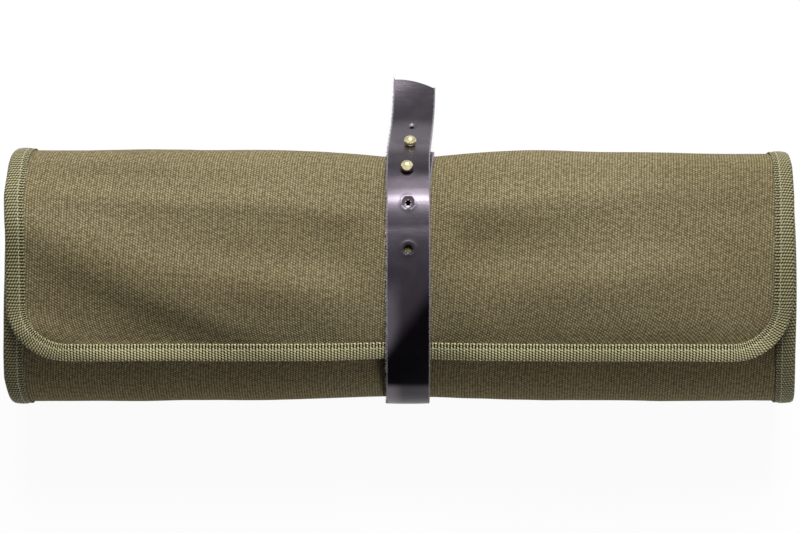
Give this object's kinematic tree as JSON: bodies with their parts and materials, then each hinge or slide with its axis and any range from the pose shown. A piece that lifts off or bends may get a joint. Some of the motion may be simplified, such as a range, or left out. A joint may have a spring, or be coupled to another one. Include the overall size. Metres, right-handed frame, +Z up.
{
  "type": "knife roll",
  "caption": "Canvas knife roll, rolled up, with inside pockets, a closing flap and a leather strap that buttons over two brass studs.",
  "frame": {"origin": "on the table, under the middle of the whole object's box, the strap's free end included", "axes": "+X along the roll to the picture's right, +Y to the back where the strap's free end lies, +Z up"},
  "size_m": [0.4628, 0.1922, 0.0926],
  "materials": {
    "canvas": "waxed olive canvas, plain weave",
    "lining_cloth": "dark olive cotton lining",
    "webbing_tape": "ribbed woven edge tape, grey green",
    "leather": "glossy black strap leather with raw fuzzy edges",
    "brass": "polished brass"
  },
  "bodies": {
    "root": {"outer_canvas": "canvas", "lining": "lining_cloth", "left_binding": "webbing_tape", "right_binding": "webbing_tape", "inner_end_binding": "webbing_tape", "pocket_1": "lining_cloth", "pocket_2": "lining_cloth", "pocket_3": "lining_cloth", "pocket_4": "lining_cloth", "pocket_5": "lining_cloth", "strap_back": "leather", "rivet_front": "brass", "rivet_rear": "brass", "rivet_washer_front": "brass", "rivet_washer_rear": "brass"},
    "flap": {"flap_canvas": "canvas", "flap_lining": "lining_cloth", "flap_binding": "webbing_tape"},
    "stud_end": {"strap_stud_end": "leather", "stud_lower": "brass", "stud_upper": "brass", "stud_screw_lower": "brass", "stud_screw_upper": "brass"},
    "strap_front": {"strap_front": "leather"},
    "strap_top": {"strap_top": "leather"},
    "strap_tail": {"strap_tail": "leather"}
  },
  "joints": [
    {"name": "flap_open", "type": "hinge", "parent": "root", "child": "flap", "pos_m": [0, 0.02164, 0.08423], "axis": [-1, 0, 0], "range_deg": [0, 150]},
    {"name": "strap_front_open", "type": "hinge", "parent": "root", "child": "strap_front", "pos_m": [0.0044, -0.09006, 0.02415], "axis": [1, 0, 0], "range_deg": [0, 125], "deforming": ["strap_front"]},
    {"name": "strap_top_open", "type": "hinge", "parent": "strap_front", "child": "strap_top", "pos_m": [0.0044, -0.06433, 0.08457], "axis": [1, 0, 0], "range_deg": [0, 56], "deforming": ["strap_top"]},
    {"name": "tail_lift", "type": "hinge", "parent": "strap_top", "child": "strap_tail", "pos_m": [0.0044, 0.02923, 0.08209], "axis": [1, 0, 0], "range_deg": [0, 48], "deforming": ["strap_tail"]},
    {"name": "stud_end_open", "type": "hinge", "parent": "root", "child": "stud_end", "pos_m": [0.0044, 0.04486, 0.02283], "axis": [-1, 0, 0], "range_deg": [0, 80]}
  ],
  "couplings": [
    {"joint": "strap_front_open", "follows": "flap_open", "ratio": 0.833},
    {"joint": "strap_top_open", "follows": "flap_open", "ratio": 0.373},
    {"joint": "stud_end_open", "follows": "flap_open", "ratio": 0.533}
  ]
}
